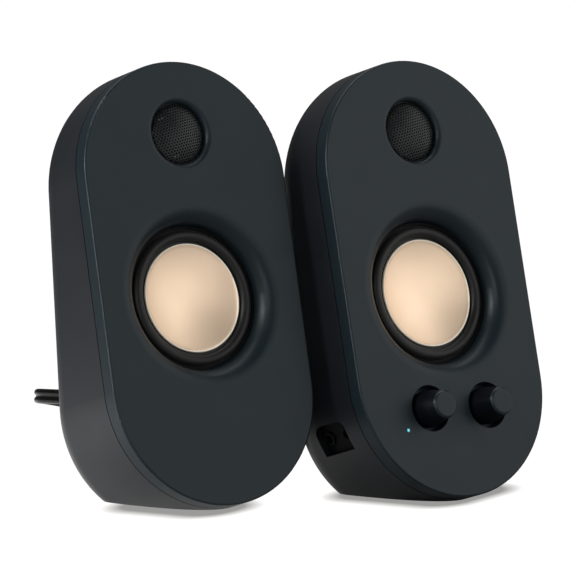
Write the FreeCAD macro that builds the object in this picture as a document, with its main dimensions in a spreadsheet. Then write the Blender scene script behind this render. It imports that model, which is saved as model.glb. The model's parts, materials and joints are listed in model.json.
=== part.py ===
import FreeCAD, Part
import Sketcher
import math
import os

# A pair of free-standing desktop speakers. Millimetres, +Z up, both cabinets stand on Z = 0.
# Each cabinet is drawn in its own face frame: x to the right along the face, y up the face,
# z straight out of the face, origin at the middle of the face. Two datum planes carry the
# face frames into place, and two more lie on the sloping backs.

V3 = FreeCAD.Vector
doc = FreeCAD.newDocument("DesktopSpeakers")
sheet = doc.addObject("Spreadsheet::Sheet", "Dims")

DIMS = [
    # cabinet
    ("face_wide", 100.0), ("face_tall", 190.7), ("lean", 16.74), ("face_lift", 3.95),
    ("skirt_deep", 7.0), ("skirt_wall", 2.4), ("plate_thick", 2.6), ("seam_gap", 0.5),
    ("shell_wall", 2.4), ("back_deep", 47.0), ("back_shift", -3.8), ("back_tilt", 8.33),
    ("back_round", 13.0), ("sole_lift", 0.7), ("tongue_thick", 1.2), ("tongue_fit", 0.15),
    # places of the two cabinets
    ("left_x", -56.25), ("left_y", -34.8), ("right_x", 57.35), ("right_y", -48.0), ("right_turn", 3.77),
    # woofer
    ("woofer_y", -5.25), ("flare_rad", 39.0), ("flare_round", 8.0), ("flange_z", -9.0), ("flange_rad", 39.0),
    ("flange_thick", 1.0), ("cone_rad", 23.4), ("cone_rim_z", -7.15), ("cone_dish", 5.2), ("cone_thick", 0.7),
    ("roll_in", 24.3), ("roll_out", 29.5), ("roll_thick", 0.5), ("former_rad", 10.25), ("former_thick", 0.25),
    ("former_end_z", -30.0), ("winding_thick", 0.5), ("spider_z", -19.4), ("spider_rad", 23.8),
    ("top_plate_rad", 19.0), ("gap_in", 11.3), ("pole_rad", 9.3), ("magnet_rad", 21.0), ("yoke_z", -39.0),
    ("bolt_circle", 36.2), ("bolt_rad", 1.25),
    # tweeter
    ("tweeter_y", 64.4), ("mesh_rad", 13.2), ("mesh_rise", 3.8), ("mesh_thick", 0.5), ("dome_rad", 7.2),
    # housing screws
    ("boss_x", 38.0), ("boss_y", 50.0), ("boss_low_x", 26.0), ("boss_low_y", -74.0), ("boss_rad", 3.6),
    ("screw_rad", 1.35), ("pillar_rad", 4.4), ("pillar_end_z", -19.0),
    # controls
    ("volume_x", -13.4), ("tone_x", 17.7), ("knob_y", -56.4), ("well_rad", 10.1), ("well_deep", 6.0),
    ("knob_out", 11.0), ("knob_foot_rad", 8.0), ("knob_end_rad", 6.1), ("shaft_rad", 3.0), ("shaft_fit", 0.05),
    ("light_x", -27.3), ("light_y", -65.3), ("light_rad", 0.95), ("board_z", -16.0), ("board_thick", 1.6),
    # side jacks
    ("side_angle", 21.0), ("recess_z", -27.2), ("recess_long", 20.0), ("recess_high", 13.6), ("recess_deep", 3.4),
    ("jack_pitch", 12.0), ("jack_bore", 1.8), ("jack_ring", 3.1),
    # rear panel and link lead
    ("panel_y", -38.0), ("panel_long", 38.0), ("panel_high", 18.0), ("exit_x", -8.0), ("exit_y", -36.6),
    ("lead_wide", 6.4), ("lead_high", 3.2), ("gland_long", 14.0),
]
for row, (alias, value) in enumerate(DIMS, start=1):
    sheet.set("A%d" % row, alias)
    sheet.set("B%d" % row, repr(value))
    sheet.setAlias("B%d" % row, alias)
doc.recompute()
D = dict(DIMS)


class Q:
    """A number together with the sheet expression that gives it."""

    def __init__(self, text, value):
        self.text, self.value = text, value

    @staticmethod
    def of(other):
        return other if isinstance(other, Q) else Q(repr(other), float(other))

    def _join(self, other, sign, value):
        return Q("(%s %s %s)" % (self.text, sign, other.text), value)

    def __add__(self, o):
        o = Q.of(o)
        return self._join(o, "+", self.value + o.value)

    def __sub__(self, o):
        o = Q.of(o)
        return self._join(o, "-", self.value - o.value)

    def __mul__(self, o):
        o = Q.of(o)
        return self._join(o, "*", self.value * o.value)

    def __truediv__(self, o):
        o = Q.of(o)
        return self._join(o, "/", self.value / o.value)

    def __neg__(self):
        return Q("(0 - %s)" % self.text, -self.value)

    __radd__ = __add__

    def __rmul__(self, o):
        return Q.of(o) * self

    def __rsub__(self, o):
        return Q.of(o) - self


def d(name):
    return Q("Dims." + name, D[name])


# ---------------------------------------------------------------- datum frames
def datum(name, expression):
    plane = doc.addObject("Part::Plane", name)
    plane.setExpression("Placement", expression)
    return name


FACE = {
    "left": datum("LeftFace", "placement(vector(Dims.left_x; Dims.left_y; Dims.face_lift); rotation(vector(1;0;0); 90 - Dims.lean))"
                  " * placement(vector(0; Dims.face_tall / 2; 0); rotation(vector(0;0;1); 0))"),
    "right": datum("RightFace", "placement(vector(Dims.right_x; Dims.right_y; Dims.face_lift); rotation(vector(0;0;1); Dims.right_turn)"
                   " * rotation(vector(1;0;0); 90 - Dims.lean)) * placement(vector(0; Dims.face_tall / 2; 0); rotation(vector(0;0;1); 0))"),
}
BACK = {}
for side in ("left", "right"):
    BACK[side] = datum(side.capitalize() + "Back", FACE[side] + ".Placement * placement(vector(0; Dims.back_shift; 0 - Dims.back_deep);"
                       " rotation(vector(1;0;0); Dims.back_tilt) * rotation(vector(0;1;0); 180))")
FLOOR = {
    "left": datum("LeftFloor", "placement(vector(Dims.left_x; Dims.left_y; 0); rotation(vector(0;0;1); 0))"),
    "right": datum("RightFloor", "placement(vector(Dims.right_x; Dims.right_y; 0); rotation(vector(0;0;1); Dims.right_turn))"),
}
# side frame of the jack recess: z points out of the cabinet's left flank, x runs rearward, y down the flank
SIDE = datum("SideFace", FACE["right"] + ".Placement * placement(vector(0 - Dims.face_wide / 2 * cos(Dims.side_angle);"
             " 0 - (Dims.face_tall - Dims.face_wide) / 2 - Dims.face_wide / 2 * sin(Dims.side_angle); Dims.recess_z);"
             " rotation(vector(0;0;1); 180 + Dims.side_angle) * rotation(vector(0;1;0); 90))")
doc.recompute()

NODES = {}


def place(obj, frame, x=0, y=0, z=0):
    x, y, z = Q.of(x), Q.of(y), Q.of(z)
    obj.setExpression("Placement", "%s.Placement * placement(vector(%s; %s; %s); rotation(vector(0;0;1); 0))"
                      % (frame, x.text, y.text, z.text))


def node(obj, label, frame=None, x=0, y=0, z=0):
    if frame:
        place(obj, frame, x, y, z)
    obj.Label = label
    NODES[label] = obj
    return obj


# ---------------------------------------------------------------- sketch helpers
def origin_plane(body, role):
    return [f for f in body.Origin.OriginFeatures if f.Role == role][0]


def new_sketch(body, name, role, offset=None):
    sk = body.newObject("Sketcher::SketchObject", name)
    sk.AttachmentSupport = (origin_plane(body, role), "")
    sk.MapMode = "FlatFace"
    if offset is not None:
        sk.setExpression("AttachmentOffset.Base.z", Q.of(offset).text)
    return sk


def pin_point(sk, geo, pos, x, y):
    for kind, q in (("DistanceX", Q.of(x)), ("DistanceY", Q.of(y))):
        k = sk.addConstraint(Sketcher.Constraint(kind, -1, 1, geo, pos, q.value))
        sk.setExpression("Constraints[%d]" % k, q.text)


def add_loop(sk, points):
    """A closed loop. Each point is (x, y), or (x, y, (mx, my)) when an arc through (mx, my) leads on from it.
    A fourth item (cx, cy) gives the arc's centre as expressions; only the one that the ends leave open is bound."""
    geos = []
    n = len(points)
    val = lambda p: V3(Q.of(p[0]).value, Q.of(p[1]).value, 0)
    for i, p in enumerate(points):
        a, b = val(p), val(points[(i + 1) % n])
        if len(p) > 2:
            m = V3(Q.of(p[2][0]).value, Q.of(p[2][1]).value, 0)
            fwd = (m - a).cross(b - m).z > 0
            g = sk.addGeometry(Part.Arc(a, m, b) if fwd else Part.Arc(b, m, a), False)
            geo = sk.Geometry[g]
            chord = b - a
            centre = p[3] if len(p) > 3 else (geo.Center.x, geo.Center.y)
            # the centre lies on the chord's bisector, so one coordinate settles it
            kind, q = ("DistanceY", centre[1]) if abs(chord.x) >= abs(chord.y) else ("DistanceX", centre[0])
            geos.append((g, 1 if fwd else 2, 2 if fwd else 1, (kind, Q.of(q))))
        else:
            g = sk.addGeometry(Part.LineSegment(a, b), False)
            geos.append((g, 1, 2, None))
    for i in range(n):
        sk.addConstraint(Sketcher.Constraint("Coincident", geos[i][0], geos[i][2], geos[(i + 1) % n][0], geos[(i + 1) % n][1]))
        pin_point(sk, geos[i][0], geos[i][1], points[i][0], points[i][1])
    for g, a, b, arc in geos:
        if arc:
            k = sk.addConstraint(Sketcher.Constraint(arc[0], -1, 1, g, 3, arc[1].value))
            sk.setExpression("Constraints[%d]" % k, arc[1].text)
    return geos


FLAT = 0.5


def crown(r, z_rim, z_top):
    """The middle point and centre of an arc about the axis, from the small flat at z_top down to radius r at z_rim."""
    r, z_rim, z_top = Q.of(r), Q.of(z_rim), Q.of(z_top)
    cz = (z_top * z_top - z_rim * z_rim + FLAT * FLAT - r * r) / (2 * (z_top - z_rim))
    big = math.hypot(r.value, z_rim.value - cz.value)
    a = 0.5 * (math.asin(FLAT / big) + math.asin(r.value / big))
    return (big * math.sin(a), cz.value + math.copysign(big * math.cos(a), z_top.value - cz.value)), (0, cz)


def add_circle(sk, x, y, r):
    x, y, r = Q.of(x), Q.of(y), Q.of(r)
    g = sk.addGeometry(Part.Circle(V3(x.value, y.value, 0), V3(0, 0, 1), r.value), False)
    pin_point(sk, g, 3, x, y)
    k = sk.addConstraint(Sketcher.Constraint("Radius", g, r.value))
    sk.setExpression("Constraints[%d]" % k, r.text)
    return g


def add_stadium(sk, wide, tall):
    """An upright stadium centred on the sketch origin: two straights and two half circles."""
    r, s = wide / 2, (tall - wide) / 2
    add_loop(sk, [(r, -s), (r, s, (0, s + r), (0, s)), (-r, s), (-r, -s, (0, -s - r), (0, -s))])


def pad(body, name, sk, length, reverse=False):
    f = body.newObject("PartDesign::Pad", name)
    f.Profile = sk
    f.setExpression("Length", Q.of(length).text)
    f.Reversed = reverse
    return f


def pocket(body, name, sk, length, reverse=False, both=False):
    """Cuts along the sketch normal's negative side unless reversed; both cuts the same length each way."""
    f = body.newObject("PartDesign::Pocket", name)
    f.Profile = sk
    f.setExpression("Length", Q.of(length).text)
    f.Midplane = both
    f.Reversed = reverse
    return f


def spin(body, name, points, groove=False, ox=0):
    """A turned shape about the line x = ox of the body's own XZ plane; points are (radius, z)."""
    sk = new_sketch(body, name + "Sketch", "XZ_Plane")
    add_loop(sk, points)
    f = body.newObject("PartDesign::Groove" if groove else "PartDesign::Revolution", name)
    f.Profile = sk
    f.ReferenceAxis = (sk, ["V_Axis"])
    f.Angle = 360
    return f


def turned(label, frame, points, x=0, y=0, z=0):
    body = doc.addObject("PartDesign::Body", label + "_body")
    spin(body, label + "_turn", points)
    return node(body, label, frame, x, y, z)


def cylinder(name, r, length, x=0, y=0, z=0, frame=None):
    c = doc.addObject("Part::Cylinder", name)
    c.setExpression("Radius", Q.of(r).text)
    c.setExpression("Height", Q.of(length).text)
    if frame:
        place(c, frame, x, y, z)
    else:
        for ax, q in (("x", x), ("y", y), ("z", z)):
            c.setExpression("Placement.Base." + ax, Q.of(q).text)
    return c


def box(name, lx, ly, lz, x, y, z, frame=None):
    """A box given by its sizes and the middle of its lower face."""
    b = doc.addObject("Part::Box", name)
    lx, ly, lz = Q.of(lx), Q.of(ly), Q.of(lz)
    b.setExpression("Length", lx.text)
    b.setExpression("Width", ly.text)
    b.setExpression("Height", lz.text)
    x, y = Q.of(x) - lx / 2, Q.of(y) - ly / 2
    if frame:
        place(b, frame, x, y, z)
    else:
        for ax, q in (("x", x), ("y", y), ("z", z)):
            b.setExpression("Placement.Base." + ax, Q.of(q).text)
    return b


def fuse(name, objs):
    f = doc.addObject("Part::MultiFuse", name)
    f.Shapes = objs
    f.Refine = True
    return f


def cut(name, base, tool):
    c = doc.addObject("Part::Cut", name)
    c.Base, c.Tool = base, tool
    c.Refine = True
    return c


def common(name, a, b):
    c = doc.addObject("Part::MultiCommon", name)
    c.Shapes = [a, b]
    return c


def gather(name, objs):
    """Separate solids of one kind kept together, such as a set of screws."""
    c = doc.addObject("Part::Compound", name)
    c.Links = objs
    return c


# ---------------------------------------------------------------- front bezel
def bezel(side):
    name = side + "_front_bezel"
    body = doc.addObject("PartDesign::Body", name + "_body")
    r_in = d("face_wide") - 2 * d("skirt_wall")
    # face plate
    sk = new_sketch(body, name + "_plate_sketch", "XY_Plane", -d("plate_thick"))
    add_stadium(sk, d("face_wide"), d("face_tall"))
    pad(body, name + "_plate", sk, d("plate_thick"))
    # skirt round its edge
    sk = new_sketch(body, name + "_skirt_sketch", "XY_Plane", -d("skirt_deep"))
    add_stadium(sk, d("face_wide"), d("face_tall"))
    add_stadium(sk, r_in, d("face_tall") - 2 * d("skirt_wall"))
    pad(body, name + "_skirt", sk, d("skirt_deep") - d("plate_thick"))
    # turned collars, bosses and wells are fused on the back of the plate
    parts = [body]
    wy = d("woofer_y")
    fz = d("flange_z")
    collar = doc.addObject("PartDesign::Body", name + "_collar")
    inner = d("flare_rad") - d("flare_round")
    spin(collar, name + "_collar_turn", [(inner, fz), (inner + 2.6, fz), (inner + 5.4, -5.2), (inner + 10.5, -2.4),
                                         (inner + 10.5, -1.4), (inner, -1.4)])
    for ax, q in (("x", Q.of(0)), ("y", wy), ("z", Q.of(0))):
        collar.setExpression("Placement.Base." + ax, q.text)
    parts.append(collar)
    ring = doc.addObject("PartDesign::Body", name + "_tweeter_ring")
    spin(ring, name + "_tweeter_ring_turn", [(15.9, -7.0), (17.7, -7.0), (17.7, -1.4), (15.9, -1.4)])
    ring.setExpression("Placement.Base.y", d("tweeter_y").text)
    parts.append(ring)
    h = d("bolt_circle") * 0.70711
    for i, (sx, sy) in enumerate(((1, 1), (-1, 1), (-1, -1), (1, -1))):
        parts.append(cylinder("%s_driver_boss_%d" % (name, i), 2.8, -fz - 1.4, sx * h, wy + sy * h, fz))
    bosses = ((d("boss_x"), d("boss_y")), (-d("boss_x"), d("boss_y")),
              (d("boss_low_x"), d("boss_low_y")), (-d("boss_low_x"), d("boss_low_y")))
    for i, (bx, by) in enumerate(bosses):
        parts.append(cylinder("%s_boss_%d" % (name, i), d("boss_rad"), 16.6, bx, by, -18.0))
    cuts = []
    for i, (sx, sy) in enumerate(((1, 1), (-1, 1), (-1, -1), (1, -1))):
        cuts.append(cylinder("%s_driver_hole_%d" % (name, i), d("bolt_rad") + 0.05, 6.0, sx * h, wy + sy * h, fz - 0.5))
    for i, (bx, by) in enumerate(bosses):
        cuts.append(cylinder("%s_boss_hole_%d" % (name, i), d("screw_rad") + 0.05, 12.0, bx, by, -18.5))
    # flare of the woofer opening: tangent to the face, then straight down
    flare = doc.addObject("PartDesign::Body", name + "_flare")
    k = 0.70711
    fr, rr = d("flare_rad"), d("flare_round")
    spin(flare, name + "_flare_turn", [(0, 0.5), (fr, 0.5), (fr, 0, (fr - rr * k, -rr + rr * k), (fr, -rr)), (inner, -rr), (inner, fz - 0.5), (0, fz - 0.5)])
    flare.setExpression("Placement.Base.y", wy.text)
    cuts.append(flare)
    # small flare of the tweeter opening
    tf = doc.addObject("PartDesign::Body", name + "_tweeter_flare")
    mr = d("mesh_rad") + 0.1
    spin(tf, name + "_tweeter_flare_turn", [(0, 0.5), (mr + 2.4, 0.5), (mr + 2.4, 0, (mr + 2.4 - 2.4 * k, -2.4 + 2.4 * k), (mr + 2.4, -2.4)), (mr, -2.4), (mr, -3.0), (0, -3.0)])
    tf.setExpression("Placement.Base.y", d("tweeter_y").text)
    cuts.append(tf)
    if side == "right":
        wd = d("well_deep")
        for tag in ("volume", "tone"):
            kx = d(tag + "_x")
            parts.append(cylinder("%s_%s_well" % (name, tag), d("well_rad") + 1.5, wd + 0.1, kx, d("knob_y"), -wd - 1.5))
            cuts.append(cylinder("%s_%s_well_hole" % (name, tag), d("well_rad"), wd + 1, kx, d("knob_y"), -wd))
            cuts.append(cylinder("%s_%s_bushing_hole" % (name, tag), 3.6, 3.0, kx, d("knob_y"), -wd - 2.5))
        cuts.append(cylinder(name + "_light_hole", d("light_rad") + 0.05, 4.0, d("light_x"), d("light_y"), -3.5))
        for i, (px, py) in enumerate(BOARD_BOSSES):
            parts.append(cylinder("%s_board_boss_%d" % (name, i), 2.8, -d("board_z") - 1.4, px, py, d("board_z")))
            cuts.append(cylinder("%s_board_boss_hole_%d" % (name, i), 1.3, 8.0, px, py, d("board_z") - 0.5))
    solid = fuse(name + "_solid", parts)
    tools = fuse(name + "_tools", cuts)
    raw = cut(name + "_cut", solid, tools)
    doc.recompute()
    # soft edge round the face
    edge = doc.addObject("Part::Fillet", name + "_edge")
    edge.Base = raw
    half, s = D["face_wide"] / 2, (D["face_tall"] - D["face_wide"]) / 2
    picks = []
    for i, e in enumerate(raw.Shape.Edges, start=1):
        b = e.BoundBox
        if b.ZMin > -0.01 and b.ZMax < 0.01:
            p = e.valueAt((e.FirstParameter + e.LastParameter) / 2)
            r = math.hypot(p.x, max(abs(p.y) - s, 0))
            if abs(r - half) < 0.2:
                picks.append((i, 0.8, 0.8))
    edge.Edges = picks
    return node(edge, name, FACE[side])


BOARD_BOSSES = ((-29.0, -50.0), (2.15, -63.5))
# identical small pieces of both cabinets, each kept as one group of separate solids
SHARED = {}


# ---------------------------------------------------------------- rear shell
def shell_form(name, inset, front_z):
    """The cabinet's outer form, or its cavity when inset: a stadium run back from the face, cut by the
    sloping back, rounded there, and cut flat underneath."""
    inset = Q.of(inset)
    body = doc.addObject("PartDesign::Body", name)
    sk = new_sketch(body, name + "_sketch", "XY_Plane", front_z)
    add_stadium(sk, d("face_wide") - 2 * inset, d("face_tall") - 2 * inset)
    pad(body, name + "_run", sk, 90.0, reverse=True)
    # everything behind the sloping back; the sketch is in the YZ plane, so x is the cabinet's y and y its z
    tan = math.tan(math.radians(D["back_tilt"]))
    slope = Q("tan(Dims.back_tilt)", tan)
    at = lambda y: -d("back_deep") + inset + (Q.of(y) - d("back_shift")) * slope
    sk = new_sketch(body, name + "_back_sketch", "YZ_Plane")
    add_loop(sk, [(-110.0, at(-110.0)), (110.0, at(110.0)), (110.0, -130.0), (-110.0, -130.0)])
    pocket(body, name + "_back", sk, 140.0, both=True)
    doc.recompute()
    tip = body.Tip
    names = []
    for i, f in enumerate(tip.Shape.Faces, start=1):
        n = f.normalAt(0, 0)
        if f.Surface.TypeId == "Part::GeomPlane" and abs(n.z) > 0.9 and abs(n.y) > 0.05:
            for e in f.Edges:
                for j, g in enumerate(tip.Shape.Edges, start=1):
                    if e.isSame(g):
                        names.append("Edge%d" % j)
    fl = body.newObject("PartDesign::Fillet", name + "_back_round")
    fl.Base = (tip, names)
    fl.setExpression("Radius", (d("back_round") - inset).text)
    doc.recompute()
    # sole: everything below the floor line
    lean = math.radians(D["lean"])
    tl, cl = Q("tan(Dims.lean)", math.tan(lean)), Q("cos(Dims.lean)", math.cos(lean))
    # floor line in the face frame: y = -face_tall/2 - (face_lift - sole)/cos(lean) - z tan(lean)
    low = lambda z: -d("face_tall") / 2 + (d("sole_lift") + inset - d("face_lift")) / cl - Q.of(z) * tl
    sk = new_sketch(body, name + "_sole_sketch", "YZ_Plane")
    add_loop(sk, [(low(5.0), 5.0), (low(-95.0), -95.0), (-130.0, -95.0), (-130.0, 5.0)])
    pocket(body, name + "_sole", sk, 140.0, both=True)
    doc.recompute()
    return body


def shell(side):
    name = side + "_rear_shell"
    front = -d("skirt_deep") - d("seam_gap")
    outer = shell_form(name + "_form", 0.0, front)
    hollow = shell_form(name + "_hollow", d("shell_wall"), front + 1.0)
    # tongue that reaches inside the bezel's skirt
    tongue = doc.addObject("PartDesign::Body", name + "_tongue")
    inset = d("skirt_wall") + d("tongue_fit")
    inner = inset + d("tongue_thick")
    sk = new_sketch(tongue, name + "_tongue_sketch", "XY_Plane", front - 2.0)
    add_stadium(sk, d("face_wide") - 2.0, d("face_tall") - 2.0)
    add_stadium(sk, d("face_wide") - 2 * inner, d("face_tall") - 2 * inner)
    pad(tongue, name + "_tongue_root", sk, 2.0)
    sk = new_sketch(tongue, name + "_tongue_lip_sketch", "XY_Plane", front)
    add_stadium(sk, d("face_wide") - 2 * inset, d("face_tall") - 2 * inset)
    add_stadium(sk, d("face_wide") - 2 * inner, d("face_tall") - 2 * inner)
    pad(tongue, name + "_tongue_run", sk, 2.8)
    rail = cut(name + "_rail_cut", outer, hollow)
    # pillars for the housing screws, trimmed to the outer form
    spots = ((d("boss_x"), d("boss_y")), (-d("boss_x"), d("boss_y")),
             (d("boss_low_x"), d("boss_low_y")), (-d("boss_low_x"), d("boss_low_y")))
    pillars, holes = [], []
    for i, (bx, by) in enumerate(spots):
        pillars.append(cylinder("%s_pillar_%d" % (name, i), d("pillar_rad"), 60.0, bx, by, d("pillar_end_z") - 60.0))
        holes.append(cylinder("%s_screw_well_%d" % (name, i), 3.2, 60.0, bx, by, d("pillar_end_z") - 2.5 - 60.0))
        holes.append(cylinder("%s_screw_hole_%d" % (name, i), d("screw_rad") + 0.35, 10.0, bx, by, d("pillar_end_z") - 5.0))
    trimmed = common(name + "_pillars", fuse(name + "_pillar_set", pillars), outer)
    if side == "left":
        holes.append(back_hole(name + "_gland_hole", cylinder(name + "_gland_drill", 4.6, 8.0), 8.0, d("exit_y"), -5.0))
    else:
        p = box(name + "_panel_opening", d("panel_long") - 6, d("panel_high") - 6, 8.0, 0, d("panel_y"), -5.0)
        holes.append(back_box(p))
        # opening of the side recess: rounded upper corners
        rec = doc.addObject("PartDesign::Body", name + "_recess")
        sk = new_sketch(rec, name + "_recess_sketch", "XY_Plane", -6.0)
        rounded_window(sk, d("recess_long"), d("recess_high"))
        pad(rec, name + "_recess_run", sk, 12.0)
        local_place(rec, "side")
        holes.append(rec)
        # short collar inside the flank that the jack plate sits against
        col = doc.addObject("PartDesign::Body", name + "_recess_collar")
        sk = new_sketch(col, name + "_collar_sketch", "XY_Plane", -d("recess_deep"))
        add_loop(sk, rect(d("recess_long") + 3.0, d("recess_high") + 3.0))
        pad(col, name + "_collar_run", sk, d("recess_deep") - 1.0)
        local_place(col, "side")
        trimmed = fuse(name + "_inner_parts", [trimmed, common(name + "_collar_trim", col, outer)])
    solid = fuse(name + "_solid", [rail, tongue, trimmed])
    done = cut(name + "_cut", solid, fuse(name + "_tools", holes))
    return node(done, name, FACE[side])


def rect(lx, ly, x=0, y=0):
    lx, ly, x, y = Q.of(lx), Q.of(ly), Q.of(x), Q.of(y)
    return [(x + lx / 2, y - ly / 2), (x + lx / 2, y + ly / 2), (x - lx / 2, y + ly / 2), (x - lx / 2, y - ly / 2)]


def rounded_window(sk, lx, ly):
    """The recess outline seen from outside: square below, rounded above. x runs towards the face."""
    a, b = Q.of(lx) / 2, Q.of(ly) / 2
    r, k = 4.0, 4.0 * 0.29289
    add_loop(sk, [(a, -b), (a, b - r, (a - k, b - k)), (a - r, b), (-a + r, b, (-a + k, b - k)), (-a, b - r), (-a, -b)])


def local_place(obj, which):
    """Puts a tool, made in the side or back frame, into the cabinet's own face frame."""
    if which == "side":
        obj.setExpression("Placement", "placement(vector(0 - Dims.face_wide / 2 * cos(Dims.side_angle);"
                          " 0 - (Dims.face_tall - Dims.face_wide) / 2 - Dims.face_wide / 2 * sin(Dims.side_angle); Dims.recess_z);"
                          " rotation(vector(0;0;1); 180 + Dims.side_angle) * rotation(vector(0;1;0); 90) * rotation(vector(0;0;1); 180))")


def back_frame_text(x, y, z):
    x, y, z = Q.of(x), Q.of(y), Q.of(z)
    return ("placement(vector(0; Dims.back_shift; 0 - Dims.back_deep); rotation(vector(1;0;0); Dims.back_tilt) * rotation(vector(0;1;0); 180))"
            " * placement(vector(%s; %s; %s); rotation(vector(0;0;1); 0))" % (x.text, y.text, z.text))


def back_hole(name, obj, x, y, z):
    for ax in "xyz":
        obj.setExpression("Placement.Base." + ax, None)
    obj.setExpression("Placement", back_frame_text(x, y, z))
    return obj


def back_box(obj):
    lx, ly = d("panel_long") - 6, d("panel_high") - 6
    for ax in "xyz":
        obj.setExpression("Placement.Base." + ax, None)
    obj.setExpression("Placement", back_frame_text(-lx / 2, d("panel_y") - ly / 2, -5.0))
    return obj


# ---------------------------------------------------------------- woofer
def woofer(side):
    F, wy = FACE[side], d("woofer_y")
    fz, ft, fr = d("flange_z"), d("flange_thick"), d("flange_rad")
    # stamped basket: flange, conical wall with windows, spider ledge, seat for the magnet
    name = side + "_woofer_basket"
    body = doc.addObject("PartDesign::Body", name + "_body")
    spin(body, name + "_turn", [(29.7, fz), (fr, fz), (fr, fz - ft), (30.9, fz - ft), (25.4, -20.4), (22.5, -20.4), (22.5, -25.0),
                                (11.6, -25.0), (11.6, -24.0), (21.5, -24.0), (21.5, -19.4), (24.7, -19.4), (29.7, fz - ft)])
    sk = new_sketch(body, name + "_window_sketch", "XY_Plane", -20.0)
    add_loop(sk, rect(3.6, 17.0, 27.6, 0))
    win = pocket(body, name + "_window", sk, 9.0, reverse=True)
    pp = body.newObject("PartDesign::PolarPattern", name + "_windows")
    pp.Originals = [win]
    pp.Axis = (origin_axis(body, "Z_Axis"), [""])
    pp.Angle = 360
    pp.Occurrences = 4
    body.Tip = pp
    h = d("bolt_circle") * 0.70711
    sk = new_sketch(body, name + "_hole_sketch", "XY_Plane", fz)
    for sx, sy in ((1, 1), (-1, 1), (-1, -1), (1, -1)):
        add_circle(sk, sx * h, sy * h, d("bolt_rad") + 0.25)
    pocket(body, name + "_holes", sk, 3.0)
    node(body, name, F, 0, wy, 0)
    screws = []
    for i, (sx, sy) in enumerate(((1, 1), (-1, 1), (-1, -1), (1, -1))):
        b = doc.addObject("PartDesign::Body", "%s_woofer_screw_%d" % (side, i))
        z0 = fz - ft
        r = d("bolt_rad")
        spin(b, "%s_woofer_screw_turn_%d" % (side, i), [(0, z0 - 1.6), (1.9, z0 - 1.6), (2.4, z0 - 1.0), (2.4, z0), (r, z0), (r, z0 + 5.5), (0, z0 + 6.2)])
        place(b, F, sx * h, wy + sy * h, 0)
        screws.append(b)
    SHARED.setdefault("woofer_screws", []).extend(screws)
    # clamping ring in front of the surround's outer edge
    turned(side + "_woofer_gasket", F, [(29.7, -8.4), (30.8, -8.4), (30.8, -7.5), (29.7, -7.5)], 0, wy)
    # half-roll surround: outer land on the flange, roll, inner land under the cone's rim
    a, b, th = d("roll_in"), d("roll_out"), d("roll_thick")
    mid, rr = (a + b) / 2, (b - a) / 2
    zl = Q.of(-9.0)
    name = side + "_woofer_surround"
    turned(name, F, [(30.8, zl), (30.8, zl + 0.6), (b, zl + 0.6, (mid, zl + 0.2 + rr * 1.0118), (mid, zl + 0.2)), (a, zl + 0.6),
                     (23.45, zl + 0.6), (23.45, zl + 0.1), (a + th, zl + 0.1, (mid, zl + 0.2 + (rr - th) * 1.0011), (mid, zl + 0.2)), (b - th, zl + 0.1), (29.7, zl)], 0, wy)
    # one-piece dished cone with a bead round its rim and a neck down to the former
    name = side + "_woofer_cone"
    rc, rz, dish, tk = d("cone_rad"), d("cone_rim_z"), d("cone_dish"), d("cone_thick")
    fo = d("former_rad")
    turned(name, F, [(0, rz - dish, (rc * 0.56, rz - dish * 0.72)), (rc - 0.9, rz - 0.35), (rc - 0.5, rz), (rc, rz - 0.3), (rc, rz - 1.2),
                     (fo + 2.2, rz - dish - 2.0), (fo + 0.6, rz - dish - 3.4), (fo, rz - dish - 3.4), (fo, rz - dish - 1.2), (0, rz - dish - tk)], 0, wy)
    # moving coil
    ft2, fe = d("former_thick"), d("former_end_z")
    turned(side + "_coil_former", F, [(fo - ft2, fe), (fo, fe), (fo, rz - dish - 1.2), (fo - ft2, rz - dish - 1.2)], 0, wy)
    turned(side + "_voice_coil", F, [(fo, fe + 0.6), (fo + d("winding_thick"), fe + 0.6), (fo + d("winding_thick"), fe + 7.4), (fo, fe + 7.4)], 0, wy)
    # corrugated spider between former and basket ledge
    sz, sr = d("spider_z"), d("spider_rad")
    up, dn = [], []
    r0, n = D["former_rad"] + 1.2, 5
    step = (21.2 - r0) / (2 * n)
    for i in range(2 * n + 1):
        w = (0.9 if i % 2 else -0.1) if 0 < i < 2 * n else 0.0
        up.append((r0 + step * i, sz + w + 0.3))
        dn.append((r0 + step * i, sz + w))
    pts = [(fo, sz), (fo, sz + 0.3)] + up + [(sr, sz + 0.3), (sr, sz)] + dn[::-1]
    turned(side + "_spider", F, pts, 0, wy)
    # magnet system
    tp, gi, pr, yz = d("top_plate_rad"), d("gap_in"), d("pole_rad"), d("yoke_z")
    turned(side + "_top_plate", F, [(gi, -28.0), (tp, -28.0), (tp, -25.0), (gi, -25.0)], 0, wy)
    turned(side + "_magnet", F, [(gi + 0.6, -36.0), (d("magnet_rad"), -36.0), (d("magnet_rad"), -28.0), (gi + 0.6, -28.0)], 0, wy)
    turned(side + "_yoke", F, [(0, yz), (tp + 0.6, yz), (tp + 1.2, yz + 0.6), (tp + 1.2, -36.0), (pr, -36.0), (pr, -25.6), (pr - 0.6, -25.0), (0, -25.0)], 0, wy)


def origin_axis(body, role):
    return [f for f in body.Origin.OriginFeatures if f.Role == role][0]


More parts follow.
